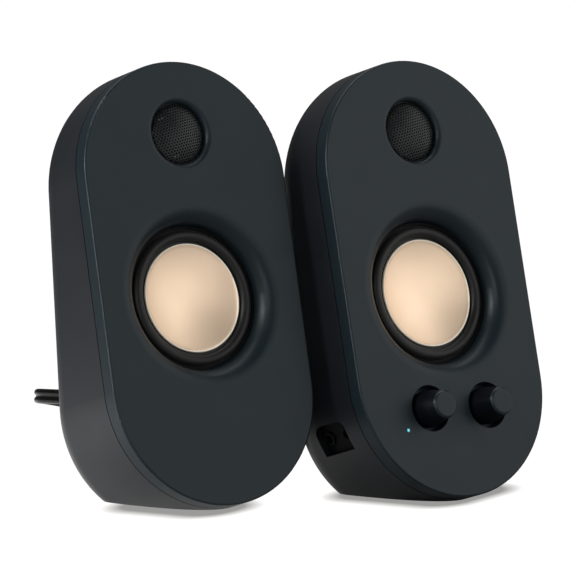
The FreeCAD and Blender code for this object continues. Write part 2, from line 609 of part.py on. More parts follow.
# ---------------------------------------------------------------- tweeter
def tweeter(side):
    F, ty = FACE[side], d("tweeter_y")
    mr, rise, mt = d("mesh_rad"), d("mesh_rise"), d("mesh_thick")
    top = -2.6 + rise
    m1, c1 = crown(mr, -2.6, top)
    m2, c2 = crown(mr - 0.5, -3.2, top - mt)
    turned(side + "_tweeter_mesh", F, [(0, top), (FLAT, top, m1, c1), (mr, -2.6), (15.7, -2.6), (15.7, -3.2), (mr - 0.5, -3.2, m2, c2), (FLAT, top - mt), (0, top - mt)], 0, ty)
    turned(side + "_tweeter_frame", F, [(12.2, -3.2), (15.7, -3.2), (15.7, -9.0), (8.9, -9.0), (8.9, -7.9), (12.2, -7.9)], 0, ty)
    r = d("dome_rad")
    m1, c1 = crown(r, -7.3, -4.9)
    m2, c2 = crown(r, -7.6, -5.2)
    turned(side + "_tweeter_dome", F, [(0, -4.9), (FLAT, -4.9, m1, c1), (r, -7.3), (8.5, -7.2), (8.5, -7.45), (r + 0.3, -7.5), (r + 0.3, -10.6), (r, -10.6), (r, -7.6, m2, c2),
                                       (FLAT, -5.2), (0, -5.2)], 0, ty)
    turned(side + "_tweeter_magnet", F, [(0, -16.0), (11.0, -16.0), (11.0, -9.0), (r + 0.8, -9.0), (r + 0.8, -12.0), (r - 0.35, -12.0), (r - 0.35, -8.9), (0, -8.9)], 0, ty)
    # series capacitor lying beside the tweeter, glued to the bezel
    cap = cylinder(side + "_tweeter_capacitor_can", 3.2, 13.0)
    for ax in "xyz":
        cap.setExpression("Placement.Base." + ax, None)
    cap.setExpression("Placement", F + ".Placement * placement(vector(0 - 6.5; 39.5; 0 - 5.8); rotation(vector(0;1;0); 90))")
    SHARED.setdefault("tweeter_capacitors", []).append(cap)


# ---------------------------------------------------------------- feet and housing screws
def feet(side):
    fl = FLOOR[side]
    pads = [cylinder("%s_foot_front" % side, 4.0, d("sole_lift"), 0, 21.0, 0, fl),
            cylinder("%s_foot_back_l" % side, 5.0, d("sole_lift"), -20.0, 50.5, 0, fl),
            cylinder("%s_foot_back_r" % side, 5.0, d("sole_lift"), 20.0, 50.5, 0, fl)]
    SHARED.setdefault("rubber_feet", []).extend(pads)


def housing_screws(side):
    F = FACE[side]
    screws = []
    spots = ((d("boss_x"), d("boss_y")), (-d("boss_x"), d("boss_y")),
             (d("boss_low_x"), d("boss_low_y")), (-d("boss_low_x"), d("boss_low_y")))
    z0 = d("pillar_end_z") - 2.5
    r = d("screw_rad")
    for i, (bx, by) in enumerate(spots):
        b = doc.addObject("PartDesign::Body", "%s_housing_screw_%d" % (side, i))
        spin(b, "%s_housing_screw_turn_%d" % (side, i), [(0, z0 - 1.2), (1.1, z0 - 1.2), (1.1, z0 - 2.0), (2.3, z0 - 2.0), (2.8, z0 - 1.2), (2.8, z0), (r, z0), (r, z0 + 12.0), (0, z0 + 13.2)])
        place(b, F, bx, by, 0)
        screws.append(b)
    SHARED.setdefault("housing_screws", []).extend(screws)


# ---------------------------------------------------------------- controls and electronics of the right cabinet
def controls():
    F, ky = FACE["right"], d("knob_y")
    wd, bz, sr = d("well_deep"), d("board_z"), d("shaft_rad")
    fit = sr + d("shaft_fit")
    nuts = []
    for tag in ("volume", "tone"):
        kx = d(tag + "_x")
        # push-on knob, bored for the shaft
        f, e, o = d("knob_foot_rad"), d("knob_end_rad"), d("knob_out")
        turned(tag + "_knob", F, [(sr, -3.0), (f, -3.0), (f, -1.2), (e, o - 0.9), (e - 0.9, o), (0, o), (0, 7.0), (sr, 7.0)], kx, ky)
        turned(tag + "_pot_shaft", F, [(0, -13.0), (sr, -13.0), (sr, 6.4), (sr - 0.5, 6.9), (0, 6.9)], kx, ky)
        # potentiometer: square body with a round bushing through the well's floor
        can = box(tag + "_pot_can", 12.0, 12.0, 6.4, kx, ky, bz)
        bush = cylinder(tag + "_pot_bushing", 3.5, -wd + 1.9 - (bz + 6.4), kx, ky, bz + 6.4)
        bore = cylinder(tag + "_pot_bore", fit, 20.0, kx, ky, -13.4)
        node(cut(tag + "_pot_cut", fuse(tag + "_pot_solid", [can, bush]), bore), tag + "_pot_body", F)
        hexa = doc.addObject("Part::Prism", tag + "_nut_hex")
        hexa.Polygon = 6
        hexa.Circumradius = 5.2
        hexa.Height = 1.7
        for ax, q in (("x", kx), ("y", ky), ("z", -wd)):
            hexa.setExpression("Placement.Base." + ax, q.text)
        nut = cut(tag + "_nut", hexa, cylinder(tag + "_nut_hole", 3.5, 4.0, kx, ky, -wd - 1))
        place(nut, F)
        nuts.append(nut)
    node(gather("pot_nuts_set", nuts), "pot_nuts")
    # power-light lens with its lamp behind it
    lens = fuse("light_lens_solid", [cylinder("light_lens_pipe", d("light_rad"), 6.1, d("light_x"), d("light_y"), -6.0),
                                     cylinder("light_lens_foot", 1.9, 1.4, d("light_x"), d("light_y"), -4.4)])
    node(lens, "power_light_lens", F)
    lamp = fuse("lamp_solid", [cylinder("lamp_can", 1.5, 5.0, d("light_x"), d("light_y"), -11.2),
                               cylinder("lamp_foot", 1.9, 0.8, d("light_x"), d("light_y"), -11.2),
                               cylinder("lamp_leg", 0.3, 4.8, d("light_x"), d("light_y"), -16.0)])
    node(lamp, "power_lamp", F)
    # amplifier board and what stands on it
    board = box("amp_board_blank", 64.0, 20.0, d("board_thick"), 0, -57.0, bz - d("board_thick"))
    drills = [cylinder("amp_board_drill_%d" % i, 1.6, 5.0, px, py, bz - 3.0) for i, (px, py) in enumerate(BOARD_BOSSES)]
    node(cut("amp_board_cut", board, fuse("amp_board_drills", drills)), "amp_board", F)
    bk = bz - d("board_thick")
    screws = []
    for i, (px, py) in enumerate(BOARD_BOSSES):
        b = doc.addObject("PartDesign::Body", "board_screw_%d" % i)
        spin(b, "board_screw_turn_%d" % i, [(0, bk - 1.5), (1.8, bk - 1.5), (2.3, bk - 0.9), (2.3, bk), (1.25, bk), (1.25, bk + 6.0), (0, bk + 6.8)])
        place(b, F, px, py, 0)
        screws.append(b)
    node(gather("amp_board_screws_set", screws), "amp_board_screws")
    # heatsink: a plate with five fins, on the board's back
    fins = [box("heatsink_plate", 22.0, 14.0, 2.5, -12.0, -56.0, bk - 2.5)]
    for i in range(5):
        fins.append(box("heatsink_fin_%d" % i, 1.6, 14.0, 10.0, -22.2 + 5.1 * i, -56.0, bk - 12.5))
    node(fuse("heatsink_solid", fins), "amp_heatsink", F)
    cans = [cylinder("capacitor_can_%d" % i, 4.0, 14.0, x, y, bk - 14.0) for i, (x, y) in enumerate(((12.0, -52.0), (12.0, -61.5), (24.0, -57.0)))]
    node(gather("amp_capacitors_set", cans), "amp_capacitors", F)


# ---------------------------------------------------------------- side jacks
def side_jacks():
    rd = d("recess_deep")
    S = SIDE + "Turned"
    datum(S, SIDE + ".Placement * placement(vector(0; 0; 0); rotation(vector(0;0;1); 180))")
    pt = 1.8
    name = "side_jack_plate"
    body = doc.addObject("PartDesign::Body", name + "_body")
    sk = new_sketch(body, name + "_sketch", "XY_Plane", -rd - pt)
    add_loop(sk, rect(d("recess_long") + 3.0, d("recess_high") + 3.0))
    for sgn in (-1, 1):
        add_circle(sk, sgn * d("jack_pitch") / 2, 0, d("jack_ring") - 0.5)
    pad(body, name + "_run", sk, pt)
    node(body, name, S)
    jacks = []
    for i, sgn in enumerate((-1, 1)):
        b = doc.addObject("PartDesign::Body", "side_jack_%d" % i)
        jb, jr = d("jack_bore"), d("jack_ring")
        spin(b, "side_jack_turn_%d" % i, [(jb, -rd - 11.0), (jb, -rd + 0.6), (jb + 0.4, -rd + 0.9), (jr - 0.2, -rd + 0.9), (jr, -rd + 0.7), (jr, -rd),
                                          (jr - 0.5, -rd), (jr - 0.5, -rd - pt), (3.9, -rd - pt), (3.9, -rd - 12.0), (0, -rd - 12.0), (0, -rd - 11.0)])
        place(b, S, sgn * d("jack_pitch") / 2, 0, 0)
        jacks.append(b)
    node(gather("side_jacks_set", jacks), "side_jacks")


# ---------------------------------------------------------------- rear panel of the right cabinet
def rear_panel():
    B, py = BACK["right"], d("panel_y")
    w = d("shell_wall")
    name = "rear_panel"
    body = doc.addObject("PartDesign::Body", name + "_body")
    sk = new_sketch(body, name + "_sketch", "XY_Plane", -w - 1.8)
    add_loop(sk, rect(d("panel_long"), d("panel_high"), 0, py))
    add_circle(sk, 9.0, py, 3.3)
    add_circle(sk, -9.0, py, 3.6)
    pad(body, name + "_run", sk, 1.8)
    node(body, name, B)
    # phono socket for the link lead: slotted barrel round a centre bore
    turned("link_socket", B, [(1.65, -w - 10.0), (1.65, -w + 6.8), (2.3, -w + 6.8), (2.3, -w + 0.6), (3.5, -w + 0.6), (3.5, -w + 7.0), (4.1, -w + 6.6), (4.1, -w + 0.8), (5.2, -w + 0.8), (5.2, -w),
                              (3.2, -w), (3.2, -w - 1.8), (5.0, -w - 1.8), (5.0, -w - 11.0), (0, -w - 11.0), (0, -w - 10.0)], 9.0, py)
    # round power inlet with its centre pin
    turned("power_inlet", B, [(0, -w - 10.0), (0, -w - 1.2), (0.6, -w - 0.8), (1.0, -w - 1.2), (1.0, -w - 9.0), (2.85, -w - 9.0), (2.85, -w), (3.3, -w + 0.8), (5.0, -w + 0.8), (5.0, -w),
                              (3.5, -w), (3.5, -w - 1.8), (4.8, -w - 1.8), (4.8, -w - 10.0)], -9.0, py)


# ---------------------------------------------------------------- link lead of the left cabinet
def arc_route(points):
    """Straight runs joined by tangent arcs, each as large as its two runs allow. Returns edges and radii."""
    n = len(points)
    edges, radii = [], []
    start = points[0]
    for i in range(1, n - 1):
        a, b, c = points[i - 1], points[i], points[i + 1]
        u, v = (b - a), (c - b)
        la, lb = u.Length, v.Length
        u.normalize()
        v.normalize()
        turn = math.acos(max(-1, min(1, u.dot(v))))
        rad = 0.45 * min(la, lb) / math.tan(turn / 2)
        radii.append((round(math.degrees(turn), 1), round(rad, 1)))
        t = 0.45 * min(la, lb)
        p, q = b - u * t, b + v * t
        w = (v - u)
        w.normalize()
        centre = b + w * (rad / math.cos(turn / 2))
        mid = centre - w * rad
        if (p - start).Length > 1e-6:
            edges.append(Part.LineSegment(start, p).toShape())
        edges.append(Part.Arc(p, mid, q).toShape())
        start = q
    edges.append(Part.LineSegment(start, points[-1]).toShape())
    return edges, radii


# The lead's route after the strain relief, in the frame of the left cabinet's floor datum: straight back out of
# the relief, round to the right behind the cabinet, and down onto the outer upper turn of the coil.
LEAD_ROUTE = [(-8.0, 81.5, 39.7), (-8.3, 103.0, 37.4), (-7.5, 124.0, 34.9), (-2.0, 143.0, 32.6), (13.5, 155.0, 28.6), (36.0, 157.3, 22.5), (57.6, 152.7, 16.6)]
# coil of six turns, two side by side and three high, the lead standing on edge: middle, mean radius,
# width of the bundle, height of its underside
COIL_MID, COIL_RAD, COIL_WIDE, COIL_LIFT = (53.0, 119.0), 32.0, 8.0, 0.6


def link_lead():
    w = d("shell_wall")
    B, fl = BACK["left"], FLOOR["left"]
    gl, lw = d("gland_long"), d("lead_wide")
    r0 = lw / 2
    # tapered strain relief snapped into the back
    turned("strain_relief", B, [(r0, -w - 2.5), (6.0, -w - 2.5), (6.0, -w), (4.5, -w), (4.5, 0.0), (6.2, 0.0), (6.2, 1.6), (5.0, 2.4), (r0 + 0.7, gl), (r0, gl)], 8.0, d("exit_y"))
    doc.recompute()
    base = doc.getObject("LeftFloor").Placement
    # the route starts inside the relief, on its axis
    bp = doc.getObject("LeftBack").Placement
    axis_in = bp.multVec(V3(8.0, D["exit_y"], -D["shell_wall"] - 2.5))
    axis_out = bp.multVec(V3(8.0, D["exit_y"], D["gland_long"]))
    way = [axis_in] + [base.multVec(V3(*p)) for p in LEAD_ROUTE]
    edges, radii = arc_route(way)
    wire = Part.Wire(edges)
    t0 = (way[1] - way[0]).normalize()
    ring = Part.Wire([Part.Circle(way[0], t0, D["lead_wide"] / 2).toShape()])
    tube = wire.makePipeShell([ring], True, False)
    section = math.pi * (D["lead_wide"] / 2) ** 2
    print("lead radii (turn, radius):", radii)
    print("lead length %.1f, volume %.1f against section x length %.1f" % (wire.Length, tube.Volume, section * wire.Length))
    print("relief mouth", axis_out, "lead start", way[0])
    obj = doc.addObject("Part::Feature", "link_lead_tube")
    obj.Shape = tube
    node(obj, "link_lead")
    # coil: the outer form of the turns lying on the floor
    cx, cy = COIL_MID
    lw2 = D["lead_wide"]
    wide, high, low = COIL_WIDE, 3 * lw2, COIL_LIFT
    coil = doc.addObject("Part::Feature", "link_lead_coil_form")
    prof = Part.makePolygon([V3(COIL_RAD - wide / 2, 0, low), V3(COIL_RAD + wide / 2, 0, low), V3(COIL_RAD + wide / 2, 0, low + high),
                             V3(COIL_RAD - wide / 2, 0, low + high), V3(COIL_RAD - wide / 2, 0, low)])
    coil.Shape = Part.Face(prof).revolve(V3(0, 0, 0), V3(0, 0, 1), 360)
    coil.setExpression("Placement", fl + ".Placement * placement(vector(%r; %r; 0); rotation(vector(0;0;1); 0))" % (cx, cy))
    node(coil, "link_lead_coil")
    # tie round the bundle of turns, on the coil's left: a closed strap
    tie = doc.addObject("Part::Feature", "coil_tie_form")
    o = Part.makeBox(wide + 2.4, 7.0, high + low + 1.2, V3(-wide / 2 - 1.2, -3.5, 0))
    i = Part.makeBox(wide + 0.1, 9.0, high, V3(-wide / 2 - 0.05, -4.5, low))
    tie.Shape = o.cut(i)
    tie.setExpression("Placement", fl + ".Placement * placement(vector(%r; %r; 0); rotation(vector(0;0;1); 0))" % (cx - COIL_RAD, cy))
    node(tie, "coil_tie")
    # phono plug lying on the coil, its tip to the left
    p = doc.addObject("PartDesign::Body", "link_plug_body")
    spin(p, "link_plug_turn", [(0, 0), (r0 - 0.2, 0), (4.0, 9.0), (5.0, 10.0), (5.0, 24.0), (4.7, 24.6), (4.7, 32.0), (4.2, 32.0), (4.2, 25.5), (1.6, 25.5), (1.6, 38.6), (0.9, 40.0), (0, 40.0)])
    p.setExpression("Placement", fl + ".Placement * placement(vector(%r; %r; %r); rotation(vector(0;1;0); 270))" % (cx + PLUG_AT[0], cy + PLUG_AT[1], low + high + 5.0))
    node(p, "link_plug")


# rear end of the plug, from the coil's middle
PLUG_AT = (10.0, -30.0)


# ---------------------------------------------------------------- build
for side in ("left", "right"):
    bezel(side)
    shell(side)
    woofer(side)
    tweeter(side)
    feet(side)
    housing_screws(side)
for label, objs in SHARED.items():
    node(gather(label + "_set", objs), label)
controls()
side_jacks()
rear_panel()
link_lead()
doc.recompute()

bad = []
for o in doc.Objects:
    if any(s in ("Invalid", "Error") for s in o.State):
        bad.append("%s %s %s" % (o.Name, o.State, o.getStatusString()))
for label, o in NODES.items():
    s = o.Shape
    if s.isNull() or not s.isValid() or not s.Solids:
        bad.append("%s has no valid solid" % label)
if bad:
    raise RuntimeError("; ".join(bad))

ON_LEAD = ("strain_relief", "link_lead", "link_lead_coil", "coil_tie", "link_plug")
whole, lead = FreeCAD.BoundBox(), FreeCAD.BoundBox()
for label, o in NODES.items():
    b = o.Shape.optimalBoundingBox(False, False)
    (lead if label in ON_LEAD else whole).add(b)
    print("%-24s solids %d volume %9.1f" % (label, len(o.Shape.Solids), o.Shape.Volume), b)
print("whole", whole, "centre", whole.Center)
print("lead", lead)

os.makedirs("parts", exist_ok=True)
for label, o in NODES.items():
    o.Shape.exportStep("parts/%s.step" % label)
print(len(NODES), "nodes")
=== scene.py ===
import json
import math

import bmesh
import bpy
import numpy as np
from mathutils import Matrix, Vector


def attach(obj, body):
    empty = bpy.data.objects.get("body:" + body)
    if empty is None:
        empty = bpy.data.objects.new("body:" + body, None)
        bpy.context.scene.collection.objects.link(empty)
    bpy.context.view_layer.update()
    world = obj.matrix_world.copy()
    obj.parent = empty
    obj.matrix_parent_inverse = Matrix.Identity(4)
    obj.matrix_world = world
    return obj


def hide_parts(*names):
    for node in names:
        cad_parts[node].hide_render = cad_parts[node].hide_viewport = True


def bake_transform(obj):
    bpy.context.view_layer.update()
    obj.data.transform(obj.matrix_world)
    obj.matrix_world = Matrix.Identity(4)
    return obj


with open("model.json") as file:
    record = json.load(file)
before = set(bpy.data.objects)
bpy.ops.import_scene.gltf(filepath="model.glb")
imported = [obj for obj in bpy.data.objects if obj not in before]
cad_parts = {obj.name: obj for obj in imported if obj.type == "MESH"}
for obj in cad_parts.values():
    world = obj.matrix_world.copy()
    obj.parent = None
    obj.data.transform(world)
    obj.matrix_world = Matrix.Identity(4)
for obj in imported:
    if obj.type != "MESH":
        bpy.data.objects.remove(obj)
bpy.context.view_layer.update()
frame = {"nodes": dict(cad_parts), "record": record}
NODES = frame["nodes"]
SIDES = ("left", "right")
scene = bpy.context.scene

# ------------------------------------------------------------------ frames
LEAN, TALL, LIFT = math.radians(16.74), 190.7, 3.95
PLACES = {"left": (-56.25, -34.8, 0.0), "right": (57.35, -48.0, 3.77)}


def face_frame(side):
    """Takes millimetres in a cabinet's face frame (x right, y up the face, z out of it) to metres in the row frame."""
    x, y, turn = PLACES[side]
    return (Matrix.Scale(0.001, 4) @ Matrix.Translation((x, y, LIFT)) @ Matrix.Rotation(math.radians(turn), 4, "Z")
            @ Matrix.Rotation(math.pi / 2 - LEAN, 4, "X") @ Matrix.Translation((0, TALL / 2, 0)))


FACE = {s: face_frame(s) for s in SIDES}


def floor_point(x, y, z):
    """Millimetres in the left cabinet's floor frame to metres in the row frame."""
    return Vector(((x + PLACES["left"][0]) / 1000, (y + PLACES["left"][1]) / 1000, z / 1000))


# ------------------------------------------------------------------ camera
def make_camera():
    yaw, pitch, roll = math.radians(33.9617), math.radians(-5.6656), math.radians(1.7123)
    fwd = Vector((math.sin(yaw) * math.cos(pitch), math.cos(yaw) * math.cos(pitch), math.sin(pitch)))
    right = Vector((math.cos(yaw), -math.sin(yaw), 0))
    up = right.cross(fwd)
    r = right * math.cos(roll) + up * math.sin(roll)
    u = up * math.cos(roll) - right * math.sin(roll)
    data = bpy.data.cameras.new("Camera")
    data.sensor_width = 36.0
    data.lens = 439.93
    data.clip_start, data.clip_end = 0.1, 60.0
    cam = bpy.data.objects.new("Camera", data)
    scene.collection.objects.link(cam)
    m = Matrix((r, u, -fwd)).transposed().to_4x4()
    m.translation = floor_point(-1617.92, -2441.04, 386.717)
    cam.matrix_world = m
    scene.camera = cam
    return cam


camera = make_camera()


# ------------------------------------------------------------------ node helpers
class Shade:
    """A small wrapper for building a node material."""

    def __init__(self, name):
        self.m = bpy.data.materials.new(name)
        self.m.use_nodes = True
        self.t = self.m.node_tree
        self.b = self.t.nodes["Principled BSDF"]
        self.coord = self.t.nodes.new("ShaderNodeTexCoord")

    def set(self, **kw):
        for k, v in kw.items():
            self.b.inputs[k.replace("_", " ")].default_value = v
        return self

    def new(self, kind, **kw):
        n = self.t.nodes.new(kind)
        for k, v in kw.items():
            setattr(n, k, v)
        return n

    def link(self, a, b):
        self.t.links.new(a, b)

    def noise(self, scale, detail=2.0, rough=0.5, vector=None):
        n = self.new("ShaderNodeTexNoise")
        n.inputs["Scale"].default_value = scale
        n.inputs["Detail"].default_value = detail
        n.inputs["Roughness"].default_value = rough
        self.link(vector or self.coord.outputs["Object"], n.inputs["Vector"])
        return n.outputs["Fac"]

    def span(self, value, low, high, a=0.0, b=1.0):
        n = self.new("ShaderNodeMapRange")
        n.inputs["From Min"].default_value, n.inputs["From Max"].default_value = a, b
        n.inputs["To Min"].default_value, n.inputs["To Max"].default_value = low, high
        self.link(value, n.inputs["Value"])
        return n.outputs["Result"]

    def tint(self, value, dark, light):
        n = self.new("ShaderNodeMix", data_type="RGBA")
        n.inputs[6].default_value = (*dark, 1)
        n.inputs[7].default_value = (*light, 1)
        self.link(value, n.inputs[0])
        self.link(n.outputs[2], self.b.inputs["Base Color"])
        return self

    def roughness(self, value, low, high, a=0.3, b=0.7):
        self.link(self.span(value, low, high, a, b), self.b.inputs["Roughness"])
        return self

    def bump(self, value, strength, distance, under=None):
        n = self.new("ShaderNodeBump")
        n.inputs["Strength"].default_value = strength
        n.inputs["Distance"].default_value = distance
        self.link(value, n.inputs["Height"])
        if under is not None:
            self.link(under, n.inputs["Normal"])
        self.link(n.outputs["Normal"], self.b.inputs["Normal"])
        return n.outputs["Normal"]


def moulded(name, dark, light, rough=(0.42, 0.5), spec=0.5, grain=1.0, cast=(1, 1, 1)):
    """Moulded plastic: slow colour drift, uneven sheen, fine eroded grain."""
    s = Shade(name).set(Specular_IOR_Level=spec, Specular_Tint=(*cast, 1))
    s.tint(s.noise(26.0, 3.0), dark, light)
    s.roughness(s.noise(70.0, 3.0), *rough)
    fine = s.bump(s.noise(2600.0, 2.0, 0.6), 0.22 * grain, 0.00003)
    s.bump(s.noise(380.0, 2.0), 0.05 * grain, 0.0001, fine)
    return s.m


def plain_metal(name, base, rough, scale=900.0, spread=0.08, metallic=1.0, stretch=None):
    s = Shade(name).set(Metallic=metallic)
    vec = s.coord.outputs["Object"]
    if stretch:
        mp = s.new("ShaderNodeMapping")
        mp.inputs["Scale"].default_value = stretch
        s.link(vec, mp.inputs["Vector"])
        vec = mp.outputs["Vector"]
    n = s.noise(scale, 3.0, 0.6, vec)
    s.tint(n, tuple(c * 0.9 for c in base), tuple(min(1, c * 1.06) for c in base))
    s.roughness(n, rough - spread, rough + spread)
    s.bump(n, 0.12, 0.00002)
    return s.m


def rubbery(name, dark, light, rough=(0.5, 0.62), scale=1600.0, strength=0.3, spec=0.4, sheen=0.0):
    s = Shade(name).set(Specular_IOR_Level=spec)
    if sheen:
        s.set(Sheen_Weight=sheen, Sheen_Roughness=0.5)
    s.tint(s.noise(60.0, 3.0), dark, light)
    s.roughness(s.noise(160.0, 2.0), *rough)
    s.bump(s.noise(scale, 2.0, 0.7), strength, 0.00004)
    return s.m


def champagne():
    """Thin spun aluminium, champagne anodised: very fine turning marks and a soft, wide gloss."""
    s = Shade("champagne_aluminium").set(Metallic=0.82, Specular_IOR_Level=0.5, Specular_Tint=(1.0, 0.93, 0.85, 1))
    n = s.noise(34.0, 2.0)
    s.tint(n, (0.96, 0.735, 0.535), (0.99, 0.77, 0.565))
    s.roughness(s.noise(120.0, 2.0), 0.42, 0.47)
    s.bump(s.noise(3200.0, 1.0), 0.05, 0.00002)
    return s.m


def lit_lens():
    """Light pipe end: bright in the middle, deep cyan round its edge."""
    s = Shade("lit_lens").set(Roughness=0.3)
    c = FACE["right"] @ Vector((-27.3, -65.3, 0.0))
    n = s.new("ShaderNodeVectorMath", operation="DISTANCE")
    s.link(s.coord.outputs["Object"], n.inputs[0])
    n.inputs[1].default_value = tuple(c)
    glow = s.span(n.outputs["Value"], 1.0, 0.0, 0.0002, 0.0008)
    s.tint(glow, (0.002, 0.02, 0.03), (0.1, 0.4, 0.5))
    mix = s.new("ShaderNodeMix", data_type="RGBA")
    mix.inputs[6].default_value = (0.0, 0.05, 0.08, 1)
    mix.inputs[7].default_value = (0.16, 0.85, 1.0, 1)
    s.link(glow, mix.inputs[0])
    s.link(mix.outputs[2], s.b.inputs["Emission Color"])
    s.b.inputs["Emission Strength"].default_value = 0.9
    return s.m


def board_mask():
    s = Shade("solder_mask").set(Specular_IOR_Level=0.5, Coat_Weight=0.3, Coat_Roughness=0.15)
    br = s.new("ShaderNodeTexBrick")
    br.inputs["Scale"].default_value = 160.0
    br.inputs["Mortar Size"].default_value = 0.035
    br.inputs["Color1"].default_value = (0.012, 0.09, 0.035, 1)
    br.inputs["Color2"].default_value = (0.014, 0.105, 0.04, 1)
    br.inputs["Mortar"].default_value = (0.05, 0.20, 0.09, 1)
    s.link(s.coord.outputs["Object"], br.inputs["Vector"])
    s.link(br.outputs["Color"], s.b.inputs["Base Color"])
    s.roughness(s.noise(200.0), 0.3, 0.4)
    return s.m


def winding():
    s = Shade("enamelled_wire").set(Metallic=0.9)
    w = s.new("ShaderNodeTexWave", wave_type="BANDS", bands_direction="Z")
    w.inputs["Scale"].default_value = 900.0
    s.link(s.coord.outputs["Object"], w.inputs["Vector"])
    s.tint(w.outputs["Fac"], (0.42, 0.16, 0.07), (0.78, 0.36, 0.18))
    s.roughness(s.noise(400.0), 0.28, 0.4)
    return s.m


def woven(name, dark, light, scale=1400.0, rough=0.85):
    s = Shade(name).set(Sheen_Weight=0.3, Sheen_Roughness=0.5)
    w1 = s.new("ShaderNodeTexWave", bands_direction="X")
    w2 = s.new("ShaderNodeTexWave", bands_direction="Z")
    for w in (w1, w2):
        w.inputs["Scale"].default_value = scale
        s.link(s.coord.outputs["Object"], w.inputs["Vector"])
    mul = s.new("ShaderNodeMath", operation="MULTIPLY")
    s.link(w1.outputs["Fac"], mul.inputs[0])
    s.link(w2.outputs["Fac"], mul.inputs[1])
    s.tint(mul.outputs[0], dark, light)
    s.roughness(s.noise(200.0), rough - 0.05, rough + 0.05)
    s.bump(mul.outputs[0], 0.4, 0.0001)
    return s.m


M = {
    "bezel_plastic": moulded("bezel_plastic", (0.0060, 0.0108, 0.0142), (0.0072, 0.0128, 0.0168), (0.35, 0.40), 0.26, 1.0, (0.88, 0.97, 1.0)),
    "shell_plastic": moulded("shell_plastic", (0.0060, 0.0075, 0.0100), (0.0075, 0.0095, 0.0125), (0.36, 0.43), 0.34),
    "knob_plastic": moulded("knob_plastic", (0.0050, 0.0095, 0.0130), (0.0062, 0.0115, 0.0155), (0.30, 0.36), 0.26, 0.5, (0.88, 0.97, 1.0)),
    # darker, rougher, less glossy copy of the knob plastic for the knob sides: painted shade
    "knob_side_painted_shade": moulded("knob_side_painted_shade", (0.0016, 0.0028, 0.0045), (0.0022, 0.0036, 0.0056), (0.42, 0.50), 0.10),
    "black_plastic": moulded("black_plastic", (0.0025, 0.0025, 0.003), (0.004, 0.004, 0.0045), (0.50, 0.6), 0.07),
    "black_steel": moulded("black_steel", (0.002, 0.002, 0.0022), (0.0035, 0.0035, 0.0037), (0.45, 0.55), 0.15, 0.6),
    "gasket_rubber": rubbery("gasket_rubber", (0.0015, 0.0015, 0.0016), (0.0025, 0.0025, 0.0026), (0.55, 0.65), spec=0.08),
    "surround_rubber": rubbery("surround_rubber", (0.0040, 0.0040, 0.0038), (0.0065, 0.0065, 0.0060), (0.36, 0.46), 1500.0, 0.4, 0.26, 0.05),
    "cone_metal": champagne(),
    # lighter, less metallic cream copy of the cone colour for the rim bead: painted highlight
    "rim_bead_painted_highlight": plain_metal("rim_bead_painted_highlight", (1.0, 0.88, 0.74), 0.5, metallic=0.35),
    "bare_aluminium": plain_metal("bare_aluminium", (0.78, 0.78, 0.80), 0.32, stretch=(1, 1, 8)),
    "copper_winding": winding(),
    "spider_cloth": woven("spider_cloth", (0.30, 0.20, 0.07), (0.62, 0.46, 0.20)),
    "zinc_steel": plain_metal("zinc_steel", (0.60, 0.60, 0.57), 0.38),
    "ferrite": rubbery("ferrite", (0.03, 0.03, 0.033), (0.055, 0.055, 0.06), (0.6, 0.75), 700.0, 0.5),
    "mesh_metal": moulded("mesh_metal", (0.010, 0.011, 0.012), (0.014, 0.0155, 0.0165), (0.34, 0.42), 0.32, 0.3),
    "dome_silk": woven("dome_silk", (0.006, 0.006, 0.008), (0.02, 0.02, 0.025)),
    "screw_steel": plain_metal("screw_steel", (0.28, 0.28, 0.29), 0.35),
    "capacitor_sleeve": moulded("capacitor_sleeve", (0.006, 0.012, 0.05), (0.008, 0.016, 0.065), (0.2, 0.3), 0.5, 0.3),
    "foot_rubber": rubbery("foot_rubber", (0.008, 0.008, 0.008), (0.014, 0.014, 0.014), (0.6, 0.75)),
    "light_lens": lit_lens(),
    "lamp_plastic": moulded("lamp_plastic", (0.45, 0.75, 0.85), (0.5, 0.8, 0.9), (0.15, 0.25), 0.5, 0.1),
    "board_green": board_mask(),
    "heatsink_aluminium": plain_metal("heatsink_aluminium", (0.52, 0.52, 0.53), 0.42, stretch=(1, 10, 1)),
    "jack_plastic": moulded("jack_plastic", (0.002, 0.002, 0.0022), (0.003, 0.003, 0.0033), (0.30, 0.40), 0.05, 0.2),
    "nickel": plain_metal("nickel", (0.80, 0.78, 0.74), 0.16, spread=0.04),
    "lead_rubber": rubbery("lead_rubber", (0.0015, 0.0015, 0.0016), (0.003, 0.003, 0.0032), (0.18, 0.24), 900.0, 0.08, 0.08),
    "tie_plastic": moulded("tie_plastic", (0.010, 0.010, 0.010), (0.014, 0.014, 0.014), (0.4, 0.5), 0.5),
    "plug_plastic": moulded("plug_plastic", (0.006, 0.006, 0.0065), (0.009, 0.009, 0.0095), (0.24, 0.34), 0.5, 0.6),
}

SLOT_OF = {s["node"]: s["material_slot"] for s in frame["record"]["subparts"]}
for name, ob in NODES.items():
    mat = M[SLOT_OF[name]]
    if not ob.material_slots:
        ob.data.materials.append(mat)
    for sl in ob.material_slots:
        sl.material = mat


# ------------------------------------------------------------------ mesh helpers
def new_object(name, verts, faces, material, angle=38.0):
    me = bpy.data.meshes.new(name)
    me.from_pydata([tuple(v) for v in verts], [], faces)
    me.validate()
    bm = bmesh.new()
    bm.from_mesh(me)
    bmesh.ops.remove_doubles(bm, verts=bm.verts, dist=1e-7)
    bmesh.ops.recalc_face_normals(bm, faces=bm.faces)
    bm.to_mesh(me)
    bm.free()
    for p in me.polygons:
        p.use_smooth = True
    me.set_sharp_from_angle(angle=math.radians(angle))
    me.materials.append(material)
    ob = bpy.data.objects.new(name, me)
    scene.collection.objects.link(ob)
    return ob


